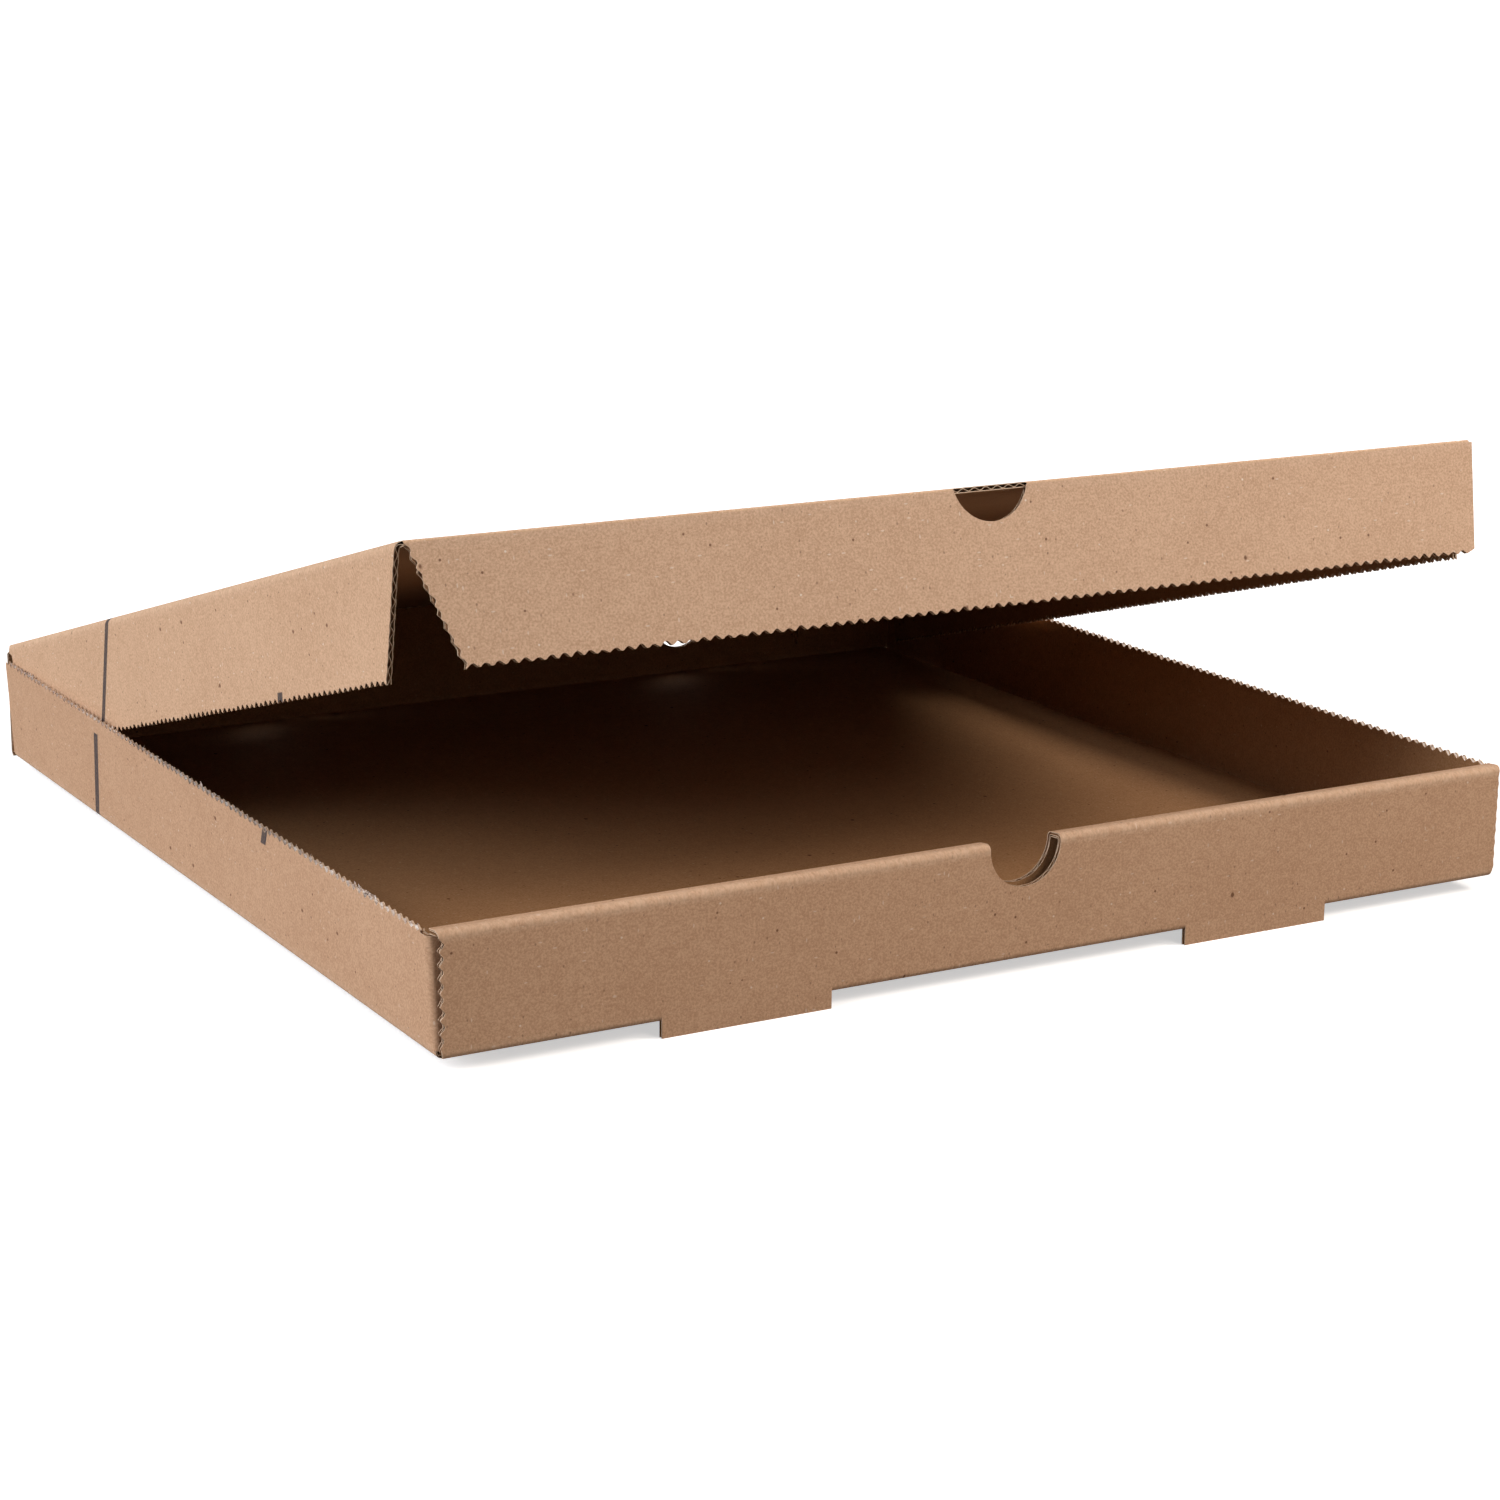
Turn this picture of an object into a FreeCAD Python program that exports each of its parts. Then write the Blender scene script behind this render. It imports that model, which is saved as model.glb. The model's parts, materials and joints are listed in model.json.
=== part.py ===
import FreeCAD
import Part
import math
import os

# A pizza box folded from one sheet of corrugated board: a tray with a rolled front wall,
# a hinged lid with tucked side flaps, and a front flap hinged on the lid's front edge.
# Millimetres. The origin is the middle of the tray's underside, +Z up, the lid's crease at +Y.
# The model is drawn with the lid standing half open.

# The board and its folds
BOARD = 1.3               # thickness of the corrugated board
FOLD_RADIUS = 1.6         # outer radius of a folded edge
CREASE_GAP = 0.3          # board crushed away between two panels that hinge
PANEL_GAP = 0.25          # air between a panel and the one tucked behind it
TOOTH_PITCH = 3.175       # the cutting rule leaves eight teeth to the inch
TOOTH_DEPTH = 0.8

# The tray
TRAY_WIDTH = 300.0        # across the bottom, fold to fold
TRAY_DEPTH = 300.0        # front face to back face
FRONT_HEIGHT = 29.5       # underside of the bottom to the top of the rolled front
SIDE_HEIGHT = 28.8        # underside of the bottom to the top of the side walls
HINGE_HEIGHT = 32.2       # underside of the bottom to the lid's crease
FLARE = 3.0               # degrees by which the side walls lean out
ROLL_WIDTH = 5.8          # outer face to inner face of the rolled front wall

# The tray's feet, slots, notch, vents and corner tabs
FOOT_WIDTH = 44.5
FOOT_SPACING = 145.8      # centre to centre
FOOT_DROP = 3.9           # below the tray's underside
LOCK_CLEARANCE = 0.4      # round a lock tab in its slot, and under the inner panel
LOCK_INSET = 1.5          # a lock tab is this much narrower than its slot, each end
NOTCH_OFFSET = 2.1        # the thumb notches sit right of the middle
NOTCH_RADIUS = 10.5
NOTCH_SINK = 0.9          # the notch arc's centre below the top of the front
VENT_RADIUS = 9.5
VENT_SPACING = 141.6      # centre to centre
VENT_HEIGHT = 18.4        # the straight upper edge of a vent
FRONT_TAB_LENGTH = 46.0
BACK_TAB_LENGTH = 36.0
TAB_LIFT = 0.9            # a corner tab's lower edge above the floor
TAB_TAPER = 3.0           # how much a corner tab narrows at each edge of its free end

# The lid and its flaps
LID_OPENING = 15.7        # degrees between the lid and the tray's bottom
LID_SIDE_CLEARANCE = 0.4  # a lid flap to the side wall it tucks behind
LID_BACK_CLEARANCE = 0.5  # a lid flap to the tab at the back corner
LID_FRONT_CLEARANCE = 1.2  # the closed front flap to the rolled front
LID_FLAP_HEIGHT = 30.0    # from the lid's top face
LEFT_FLAP_SLANT = 17.5    # how far the flap's front edge runs back to its lower end
RIGHT_FLAP_SLANT = 8.5
FRONT_FLAP_HEIGHT = 28.9  # from the lid's top face
FRONT_FLAP_TUCK = 1.5     # degrees by which the front flap leans inward
FLAP_LEFT_TAPER = 12.8
FLAP_RIGHT_TAPER = 3.5
FLAP_CORNER_CLIP = 1.0    # the clipped lower right corner, in height
FLAP_SIDE_GAP = 0.4       # the front flap to the side flap's front edge
LID_NOTCH_OFFSET = 1.7
LID_NOTCH_WIDTH = 20.8
LID_NOTCH_DEPTH = 8.6

# Worked out from the sizes above
LEAN = math.tan(math.radians(FLARE))
WALL_X = BOARD / math.cos(math.radians(FLARE))
FRONT_Y = -TRAY_DEPTH / 2
BACK_Y = TRAY_DEPTH / 2
INNER_FRONT_Y = FRONT_Y + ROLL_WIDTH
HINGE_Y = BACK_Y - BOARD / 2
WALL_START_Y = FRONT_Y + BOARD + PANEL_GAP
WALL_END_Y = BACK_Y - BOARD - PANEL_GAP
BACK_TAB_Y = WALL_END_Y - BOARD
LID_TOP = HINGE_HEIGHT + BOARD / 2
LID_UNDER = HINGE_HEIGHT - BOARD / 2
LID_FRONT_Y = INNER_FRONT_Y + LID_FRONT_CLEARANCE + BOARD / 2
LID_HALF = TRAY_WIDTH / 2 - WALL_X - LID_SIDE_CLEARANCE
FLAP_REAR_Y = BACK_TAB_Y - LID_BACK_CLEARANCE
OVERSIZE = 20.0           # how far a cutting solid reaches past the board


def point(x, y, z):
    return FreeCAD.Vector(x, y, z)


def face_of(edges):
    return Part.Face(Part.Wire(Part.__sortEdges__(edges)))


def closed_lines(corners):
    """Straight edges round a closed outline."""
    return [Part.makeLine(a, b) for a, b in zip(corners, corners[1:] + corners[:1])]


def plate_x(outline, x_start, x_end):
    """A plate with the outline in Y and Z, reaching from one X to another."""
    corners = [point(x_start, y, z) for y, z in outline]
    return face_of(closed_lines(corners)).extrude(point(x_end - x_start, 0, 0))


def plate_y(outline, y_start, y_end):
    """A plate with the outline in X and Z, reaching from one Y to another."""
    corners = [point(x, y_start, z) for x, z in outline]
    return face_of(closed_lines(corners)).extrude(point(0, y_end - y_start, 0))


def box(x_start, x_end, y_start, y_end, z_start, z_end):
    return Part.makeBox(x_end - x_start, y_end - y_start, z_end - z_start,
                        point(x_start, y_start, z_start))


def saw_line(start, end, inward):
    """Points of a saw-toothed cut from start up to end, its valleys on the inward side."""
    run = (end[0] - start[0], end[1] - start[1])
    length = math.hypot(run[0], run[1])
    count = max(1, round(length / TOOTH_PITCH))
    points = []
    for tooth in range(count):
        for step, depth in ((0.0, 0.0), (0.5, TOOTH_DEPTH)):
            share = (tooth + step) / count
            points.append((start[0] + run[0] * share + inward[0] * depth,
                           start[1] + run[1] * share + inward[1] * depth))
    return points


def rounded_path(corners, radius):
    """Edges of an open path in one plane, each inner corner an arc of the radius."""
    edges = []
    last = corners[0]
    for before, corner, after in zip(corners, corners[1:], corners[2:]):
        back = (before - corner).normalize()
        ahead = (after - corner).normalize()
        half = back.getAngle(ahead) / 2
        setback = radius / math.tan(half)
        middle = (back + ahead).normalize()
        centre = corner + middle * (radius / math.sin(half))
        arc_start = corner + back * setback
        arc_end = corner + ahead * setback
        edges.append(Part.makeLine(last, arc_start))
        edges.append(Part.Arc(arc_start, centre - middle * radius, arc_end).toShape())
        last = arc_end
    edges.append(Part.makeLine(last, corners[-1]))
    return edges


def folded(outer, inner, sweep):
    """Board folded along a path, given by its outer and inner corners, then extruded."""
    edges = rounded_path(outer, FOLD_RADIUS)
    edges += rounded_path(inner, FOLD_RADIUS - BOARD)
    edges.append(Part.makeLine(outer[0], inner[0]))
    edges.append(Part.makeLine(outer[-1], inner[-1]))
    return face_of(edges).extrude(sweep)


def channel(half_width, web_z, rim_z, y_start, y_end):
    """A flat web with two leaning walls, running along Y.

    half_width is where the walls' outer faces would meet the tray's underside plane.
    """
    inward = math.copysign(BOARD, rim_z - web_z)

    def corners(inset, web):
        at_rim = half_width - inset + LEAN * rim_z
        at_web = half_width - inset + LEAN * web
        return [point(-at_rim, y_start, rim_z), point(-at_web, y_start, web),
                point(at_web, y_start, web), point(at_rim, y_start, rim_z)]

    return folded(corners(0.0, web_z), corners(WALL_X, web_z + inward),
                  point(0, y_end - y_start, 0))


def toothed_rim(z_rim, y_start, y_end):
    """What the toothed upper edge of the side walls leaves out."""
    outline = saw_line((y_start, z_rim), (y_end, z_rim), (0, -1))
    outline += [(y_end, z_rim), (y_end, z_rim + OVERSIZE), (y_start, z_rim + OVERSIZE)]
    return plate_x(outline, -TRAY_WIDTH, TRAY_WIDTH)


def corner_tab(side, y_start, length, z_top):
    """A tab that carries on from a side wall's end and lies along the front or back."""
    low = BOARD + TAB_LIFT
    free_end = TRAY_WIDTH / 2 - length
    outline = [(side * (TRAY_WIDTH / 2 + LEAN * low), low), (side * free_end, low + TAB_TAPER),
               (side * free_end, z_top - TAB_TAPER),
               (side * (TRAY_WIDTH / 2 + LEAN * z_top), z_top)]
    return plate_y(outline, y_start, y_start + BOARD)


def rolled_front():
    """The front wall: up the outside, over the top and down the inside."""
    x = -TRAY_WIDTH / 2
    floor_end_y = FRONT_Y + 2 * FOLD_RADIUS + ROLL_WIDTH
    inner_foot = BOARD + LOCK_CLEARANCE
    outer = [point(x, floor_end_y, 0), point(x, FRONT_Y, 0),
             point(x, FRONT_Y, FRONT_HEIGHT), point(x, INNER_FRONT_Y, FRONT_HEIGHT),
             point(x, INNER_FRONT_Y, inner_foot)]
    inner = [point(x, floor_end_y, BOARD), point(x, FRONT_Y + BOARD, BOARD),
             point(x, FRONT_Y + BOARD, FRONT_HEIGHT - BOARD),
             point(x, INNER_FRONT_Y - BOARD, FRONT_HEIGHT - BOARD),
             point(x, INNER_FRONT_Y - BOARD, inner_foot)]
    wall = folded(outer, inner, point(TRAY_WIDTH, 0, 0))
    return wall.cut(inner_panel_ends() + toothed_front_ends())


def inner_panel_ends():
    """Room beside the inner panel, so that it stands between the side walls."""
    reach = TRAY_WIDTH / 2 - WALL_X - PANEL_GAP
    top = FRONT_HEIGHT - BOARD
    cutters = []
    for x_start, x_end in ((-TRAY_WIDTH, -reach), (reach, TRAY_WIDTH)):
        cutters.append(box(x_start, x_end, INNER_FRONT_Y - BOARD - PANEL_GAP,
                           INNER_FRONT_Y + PANEL_GAP, BOARD, top))
    return cutters


def toothed_front_ends():
    """What the toothed ends of the front's outer panel leave out."""
    low = FOLD_RADIUS
    high = FRONT_HEIGHT - FOLD_RADIUS
    cutters = []
    for side in (-1, 1):
        edge = side * TRAY_WIDTH / 2
        past = edge + side * OVERSIZE
        outline = saw_line((edge, low), (edge, high), (-side, 0))
        outline += [(edge, high), (past, high), (past, low)]
        cutters.append(plate_y(outline, FRONT_Y - OVERSIZE, FRONT_Y + BOARD + PANEL_GAP / 2))
    return cutters


def back_wall():
    x = -TRAY_WIDTH / 2
    top = LID_UNDER - CREASE_GAP
    floor_end_y = BACK_Y - 2 * FOLD_RADIUS - ROLL_WIDTH
    outer = [point(x, floor_end_y, 0), point(x, BACK_Y, 0), point(x, BACK_Y, top)]
    inner = [point(x, floor_end_y, BOARD), point(x, BACK_Y - BOARD, BOARD),
             point(x, BACK_Y - BOARD, top)]
    wall = folded(outer, inner, point(TRAY_WIDTH, 0, 0))
    return wall.cut([vent(side * VENT_SPACING / 2) for side in (-1, 1)])


def vent(x):
    """A half-moon hole through the back wall, its straight edge up."""
    start = point(x - VENT_RADIUS, BACK_Y - OVERSIZE, VENT_HEIGHT)
    end = point(x + VENT_RADIUS, BACK_Y - OVERSIZE, VENT_HEIGHT)
    bottom = point(x, BACK_Y - OVERSIZE, VENT_HEIGHT - VENT_RADIUS)
    outline = [Part.Arc(start, bottom, end).toShape(), Part.makeLine(end, start)]
    return face_of(outline).extrude(point(0, 2 * OVERSIZE, 0))


def make_tray():
    half = TRAY_WIDTH / 2
    walls = channel(half, 0.0, SIDE_HEIGHT, WALL_START_Y, WALL_END_Y)
    under_roll = FRONT_HEIGHT - BOARD - PANEL_GAP
    room_for_roll = box(-TRAY_WIDTH, TRAY_WIDTH, FRONT_Y, INNER_FRONT_Y + PANEL_GAP,
                        under_roll, under_roll + OVERSIZE)
    walls = walls.cut([toothed_rim(SIDE_HEIGHT, WALL_START_Y, WALL_END_Y), room_for_roll])

    pieces = [rolled_front(), back_wall()]
    for side in (-1, 1):
        pieces.append(corner_tab(side, WALL_START_Y, FRONT_TAB_LENGTH, under_roll))
        pieces.append(corner_tab(side, BACK_TAB_Y, BACK_TAB_LENGTH, SIDE_HEIGHT - TOOTH_DEPTH))
    tray = walls.fuse(pieces)

    slots = []
    feet = []
    for side in (-1, 1):
        middle = side * FOOT_SPACING / 2
        left = middle - FOOT_WIDTH / 2
        right = middle + FOOT_WIDTH / 2
        slots.append(box(left, right, FRONT_Y - BOARD, INNER_FRONT_Y + LOCK_CLEARANCE,
                         -BOARD, BOARD))
        feet.append(box(left, right, FRONT_Y, FRONT_Y + BOARD, -FOOT_DROP, FOLD_RADIUS + BOARD))
        feet.append(box(left + LOCK_INSET, right - LOCK_INSET, INNER_FRONT_Y - BOARD,
                        INNER_FRONT_Y, 0.0, BOARD + 2 * LOCK_CLEARANCE))
    notch = Part.makeCylinder(NOTCH_RADIUS, ROLL_WIDTH + 2 * BOARD,
                              point(NOTCH_OFFSET, FRONT_Y - BOARD, FRONT_HEIGHT - NOTCH_SINK),
                              point(0, 1, 0))
    tray = tray.cut(slots).fuse(feet).cut(notch)
    return tray.removeSplitter()


def side_flap_stencil(side, slant):
    """The side view of one of the lid's flaps and of the fold above it."""
    bottom = LID_TOP - LID_FLAP_HEIGHT
    flap_front_y = LID_FRONT_Y + BOARD / 2 + FLAP_SIDE_GAP
    outline = [(LID_FRONT_Y, LID_TOP + OVERSIZE), (LID_FRONT_Y, LID_UNDER)]
    slant_top = (flap_front_y, LID_UNDER)
    slant_end = (flap_front_y + slant, bottom)
    outline += [slant_top]
    outline += saw_line(slant_end, (FLAP_REAR_Y, bottom), (0, 1))
    outline += [(FLAP_REAR_Y, bottom), (FLAP_REAR_Y, LID_TOP + OVERSIZE)]
    return plate_x(outline, min(0, side * TRAY_WIDTH), max(0, side * TRAY_WIDTH))


def make_lid():
    """The lid as it lies when it is closed."""
    bottom = LID_TOP - LID_FLAP_HEIGHT
    flaps = channel(LID_HALF, LID_TOP, bottom, LID_FRONT_Y, FLAP_REAR_Y)
    left_view = side_flap_stencil(-1, LEFT_FLAP_SLANT)
    flaps = flaps.common(left_view.fuse(side_flap_stencil(1, RIGHT_FLAP_SLANT)))
    reach = LID_HALF + LEAN * LID_UNDER
    panel = box(-reach, reach, FLAP_REAR_Y - BOARD, HINGE_Y, LID_UNDER, LID_TOP)
    back_edge = crease_edge(HINGE_Y, -reach, reach)
    half_web = reach - FOLD_RADIUS
    front_edge = crease_edge(LID_FRONT_Y, -half_web, half_web)
    notch_left = LID_NOTCH_OFFSET - LID_NOTCH_WIDTH / 2
    notch_right = LID_NOTCH_OFFSET + LID_NOTCH_WIDTH / 2
    cut_edge = box(notch_left, notch_right, LID_FRONT_Y - BOARD, LID_FRONT_Y,
                   LID_UNDER - BOARD, LID_TOP + BOARD)
    lid = flaps.fuse([panel, back_edge, front_edge]).cut(cut_edge)
    return lid.removeSplitter()


def crease_edge(y, x_start, x_end):
    """The rounded edge of a panel that turns on its crease."""
    return Part.makeCylinder(BOARD / 2, x_end - x_start, point(x_start, y, HINGE_HEIGHT),
                             point(1, 0, 0))


def make_front_flap():
    """The front flap as it hangs at right angles from the closed lid."""
    top = LID_UNDER - CREASE_GAP
    bottom = LID_TOP - FRONT_FLAP_HEIGHT
    lid_reach = LID_HALF + LEAN * LID_UNDER
    left_end = (-TRAY_WIDTH / 2 + FLAP_LEFT_TAPER, bottom)
    corner = (TRAY_WIDTH / 2 - FLAP_RIGHT_TAPER, bottom + FLAP_CORNER_CLIP)
    right_end = (corner[0] - 2.5 * FLAP_CORNER_CLIP, bottom)
    outline = [(-lid_reach + FOLD_RADIUS, top)]
    outline += saw_line(left_end, right_end, (0, 1))
    outline += [right_end, corner, (lid_reach - BOARD / 2, top)]
    flap = plate_y(outline, LID_FRONT_Y - BOARD / 2, LID_FRONT_Y + BOARD / 2)

    half_chord = LID_NOTCH_WIDTH / 2
    sag = LID_NOTCH_DEPTH
    radius = (half_chord ** 2 + sag ** 2) / (2 * sag)
    centre_z = LID_TOP - sag + radius
    notch = Part.makeCylinder(radius, 4 * BOARD,
                              point(LID_NOTCH_OFFSET, LID_FRONT_Y - 2 * BOARD, centre_z),
                              point(0, 1, 0))
    flap = flap.cut(notch)
    flap.rotate(point(0, LID_FRONT_Y, HINGE_HEIGHT), point(1, 0, 0), FRONT_FLAP_TUCK)
    return flap


def opened(shape):
    """The shape turned with the lid from closed to its opening angle."""
    shape.rotate(point(0, HINGE_Y, HINGE_HEIGHT), point(1, 0, 0), -LID_OPENING)
    return shape


os.makedirs("parts", exist_ok=True)
NODES = {
    "tray": make_tray(),
    "lid": opened(make_lid()),
    "front_flap": opened(make_front_flap()),
}
for node_name, node_shape in NODES.items():
    node_shape.exportStep("parts/" + node_name + ".step")
    limits = node_shape.BoundBox
    print(node_name, "solids", len(node_shape.Solids), "valid", node_shape.isValid(),
          "volume %.1f" % node_shape.Volume, "X %.2f %.2f" % (limits.XMin, limits.XMax),
          "Y %.2f %.2f" % (limits.YMin, limits.YMax), "Z %.2f %.2f" % (limits.ZMin, limits.ZMax))
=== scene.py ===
import json
import math
import random

import bmesh
import bpy
import numpy as np
from mathutils import Matrix, Vector
from mathutils.geometry import delaunay_2d_cdt


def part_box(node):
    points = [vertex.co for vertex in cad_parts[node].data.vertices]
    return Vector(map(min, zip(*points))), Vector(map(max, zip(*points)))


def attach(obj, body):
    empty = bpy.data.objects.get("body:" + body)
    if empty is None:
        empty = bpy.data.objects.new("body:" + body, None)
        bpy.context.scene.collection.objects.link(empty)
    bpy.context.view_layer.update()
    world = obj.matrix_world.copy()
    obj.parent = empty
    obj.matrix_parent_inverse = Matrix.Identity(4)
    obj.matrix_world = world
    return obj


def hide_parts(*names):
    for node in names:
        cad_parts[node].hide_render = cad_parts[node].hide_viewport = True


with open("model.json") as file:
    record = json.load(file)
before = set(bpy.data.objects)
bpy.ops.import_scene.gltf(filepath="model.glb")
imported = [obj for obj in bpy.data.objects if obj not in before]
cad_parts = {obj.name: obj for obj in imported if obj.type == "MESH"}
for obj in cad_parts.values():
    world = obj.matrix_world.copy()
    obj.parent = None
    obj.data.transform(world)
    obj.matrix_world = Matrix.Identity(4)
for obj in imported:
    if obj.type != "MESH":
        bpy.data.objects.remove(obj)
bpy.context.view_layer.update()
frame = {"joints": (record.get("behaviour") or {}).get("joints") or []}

# A pizza box of corrugated board with its lid standing half open. Metres.
# Every panel is two paper liners with a wavy paper between them, cut out flat and then folded.
# Flat places on a sheet are u, across the box, v, from front to back, and w, towards the
# box's outside from the middle of the board. The waves run along v.

TRAY_LOW, TRAY_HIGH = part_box("tray")
JOINTS = {joint["name"]: joint for joint in frame["joints"]}
MM = 0.001

# The board and its folds
BOARD = 1.3 * MM
LINER = 0.19 * MM
FLUTE_PAPER = 0.17 * MM
PULP_DEPTH = 1.3 * MM
FLUTE_PITCH = 3.2 * MM
FLUTE_STEPS = 8
FLUTE_CLEARANCE = 0.02 * MM
FOLD_RADIUS = 1.6 * MM
FOLD_STEPS = 8
FLUTE_FOLD_STEPS = 4
# Folds are paler, partly from real wear and partly from a painted highlight on their crests; these
# set how far and how strongly
WEAR_AND_HIGHLIGHT_REACH = 1.3 * MM
WALL_WEAR_AND_HIGHLIGHT = 0.6
INNER_ROLL_WEAR_AND_HIGHLIGHT = 0.1
BOTTOM_WEAR_AND_HIGHLIGHT = 0.45
LID_WEAR_AND_HIGHLIGHT = 0.35
PANEL_GAP = 0.25 * MM
ROLL_SHRINK = 0.03 * MM

# The cuts
TOOTH_PITCH = 3.175 * MM
TOOTH_DEPTH = 1.0 * MM
FLAP_TOOTH_DEPTH = 1.0 * MM
END_TOOTH_DEPTH = 0.8 * MM
LID_TOOTH_DEPTH = 1.2 * MM
LID_END_DEPTH = 0.35 * MM
SMOOTH_DEPTH = 0.2 * MM
TOOTH_STEPS = 8
TOOTH_UNEVENNESS = (0.7, 1.15)
TOOTH_ROUNDNESS = 0.8
CUT_ROUGHNESS = 0.14
CRUSH_DEPTH = 0.3 * MM
ROUND_STEPS = 28
SHARP_ANGLE = 38

# How near counts as the same, in metres
ON_STATION = 1e-9
ON_FOLD = 1e-6
SAME_POINT = 1e-8

# The tray
HALF_WIDTH = 150 * MM
FRONT_Y = TRAY_LOW.y
BACK_Y = TRAY_HIGH.y
FLOOR_Z = TRAY_LOW.z
FRONT_HEIGHT = 29.5 * MM
SIDE_HEIGHT = 28.8 * MM
FLARE = 3.0
ROLL_WIDTH = 5.8 * MM
ROLL_SLOPE = 6.0
FOOT_WIDTH = 44.5 * MM
FOOT_X = 72.9 * MM
LOCK_CLEARANCE = 0.4 * MM
LOCK_INSET = 1.5 * MM
RIGHT_FOOT_TRIM = 1.0 * MM
NOTCH_X = 2.6 * MM
NOTCH_RADIUS = 10.0 * MM
NOTCH_Z = 28.1 * MM
VENT_X = 70.8 * MM
VENT_RADIUS = 8.8 * MM
VENT_Z = 18.1 * MM
PANEL_INSET = 0.35 * MM
TAB_SETBACK = 0.8 * MM
FRONT_TAB_LENGTH = 46 * MM
BACK_TAB_LENGTH = 36 * MM
TAB_LIFT = 0.05 * MM
TAB_TAPER = 3.0 * MM
CORNER_GAP = 0.2 * MM
CORNER_CLIP = 1.3 * MM

# The lid and its flaps, as they lie when the lid is closed
HINGE = Vector(JOINTS["lid_hinge"]["pos_m"])
HINGE_CLEARANCE = 0.05 * MM
LID_OPENING = 15.7
LID_SIDE_CLEARANCE = 0.4 * MM
LID_FRONT_Y = FRONT_Y + ROLL_WIDTH + 1.2 * MM + BOARD / 2
LID_FLAP_HEIGHT = 30 * MM
LEFT_FLAP_SLANT = 17.5 * MM
RIGHT_FLAP_SLANT = 8.5 * MM
FLAP_FRONT_Y = LID_FRONT_Y + BOARD / 2 + 0.4 * MM
FLAP_REAR_Y = BACK_Y - 3.35 * MM
FLAP_SHOULDER = 1.6 * MM
SHOULDER_Y = BACK_Y - BOARD - 0.3 * MM
FRONT_FLAP_HEIGHT = 28.9 * MM
FRONT_FLAP_TUCK = 1.5
FLAP_LEFT_TAPER = 12.8 * MM
FLAP_RIGHT_TAPER = 3.5 * MM
FLAP_CORNER_CLIP = 1.0 * MM
FLAP_CORNER_RUN = 2.5 * MM
LID_NOTCH_X = 1.7 * MM
LID_NOTCH_WIDTH = 20.8 * MM
LID_NOTCH_DEPTH = 8.6 * MM

# Where fibres are torn loose: side, middle along the wall, reach and number of fibres.
# A fibre's way and turn are ranges towards the box's middle, along the wall and upwards.
TORN_PLACES = ((-1, -113 * MM, 7 * MM, 110), (-1, 0, 130 * MM, 110), (-1, 128 * MM, 8 * MM, 50),
               (1, 0, 130 * MM, 70))
FIBRE_STEPS = 3
FIBRE_LENGTH = (0.4 * MM, 1.1 * MM)
FIBRE_HALF_WIDTH = (0.1 * MM, 0.3 * MM)
FIBRE_HALF_THICKNESS = 0.04 * MM
FIBRE_MARGIN = 6 * MM
FIBRE_DEPTH = (0.1, 0.8)
FIBRE_INSET = (-0.1, 0.4)
FIBRE_WAY = ((0, 0.2), (-1, 1), (0.1, 0.9))
FIBRE_TURN = ((-0.1, 0.1), (-1, 1), (-0.9, 0.2))
FIBRE_FLATNESS = (0.2, 0.6, 0.7)
FIBRE_CURL = 0.8
FIBRE_TAPER = 0.7

# Worked out from the sizes above
MID_RADIUS = FOLD_RADIUS - BOARD / 2
LEAN = math.tan(math.radians(FLARE))
LID_HALF = HALF_WIDTH - BOARD / math.cos(math.radians(FLARE)) - LID_SIDE_CLEARANCE
LID_TOP = HINGE.z + BOARD / 2
WALL_END = BACK_Y - BOARD - PANEL_GAP - FOLD_RADIUS
UNDER_ROLL = FRONT_HEIGHT - BOARD - PANEL_GAP


def fold(degrees):
    """One fold of a path: the length of the board's middle round it, and its turn."""
    return MID_RADIUS * math.radians(degrees), degrees


def setback(degrees):
    """From the corner where two outer faces would meet to the start of their fold."""
    return FOLD_RADIUS * math.tan(math.radians(degrees) / 2)


def leaning(height):
    """A height along a leaning wall."""
    return height / math.cos(math.radians(FLARE))


SIDE_TURN = 90 - FLARE
SIDE_PATH = [(HALF_WIDTH - setback(SIDE_TURN), 0), fold(SIDE_TURN),
             (leaning(SIDE_HEIGHT) - setback(SIDE_TURN), 0)]
ROLL_DROP = (ROLL_WIDTH - 2 * FOLD_RADIUS) * math.sin(math.radians(ROLL_SLOPE))
FRONT_PATH = [(-FRONT_Y - FOLD_RADIUS, 0), fold(90), (FRONT_HEIGHT - 2 * FOLD_RADIUS, 0),
              fold(90 + ROLL_SLOPE), (ROLL_WIDTH - 2 * FOLD_RADIUS, 0), fold(90 - ROLL_SLOPE),
              (FRONT_HEIGHT - FOLD_RADIUS - BOARD - LOCK_CLEARANCE - ROLL_DROP, 0)]
BACK_PATH = [(BACK_Y - FOLD_RADIUS, 0), fold(90),
             (HINGE.z - BOARD / 2 - HINGE_CLEARANCE - FOLD_RADIUS, 0)]
LID_TURN = 90 + FLARE
LID_PATH = [(LID_HALF + LEAN * LID_TOP - setback(LID_TURN), 0), fold(LID_TURN),
            (leaning(LID_FLAP_HEIGHT) - setback(LID_TURN), 0)]
TAB_PATH = [fold(90), (FRONT_TAB_LENGTH - FOLD_RADIUS, 0)]


def stations(path):
    """Distances along a path at which its straight stretches and folds start and end.

    On the front's path 1 and 2 are the bottom fold's ends, 3 and 4 those of the roll's outer
    fold, 5 and 6 those of its inner fold, and 7 is the inner panel's free edge.
    """
    return np.concatenate([[0], np.cumsum([length for length, turn in path])])


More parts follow.
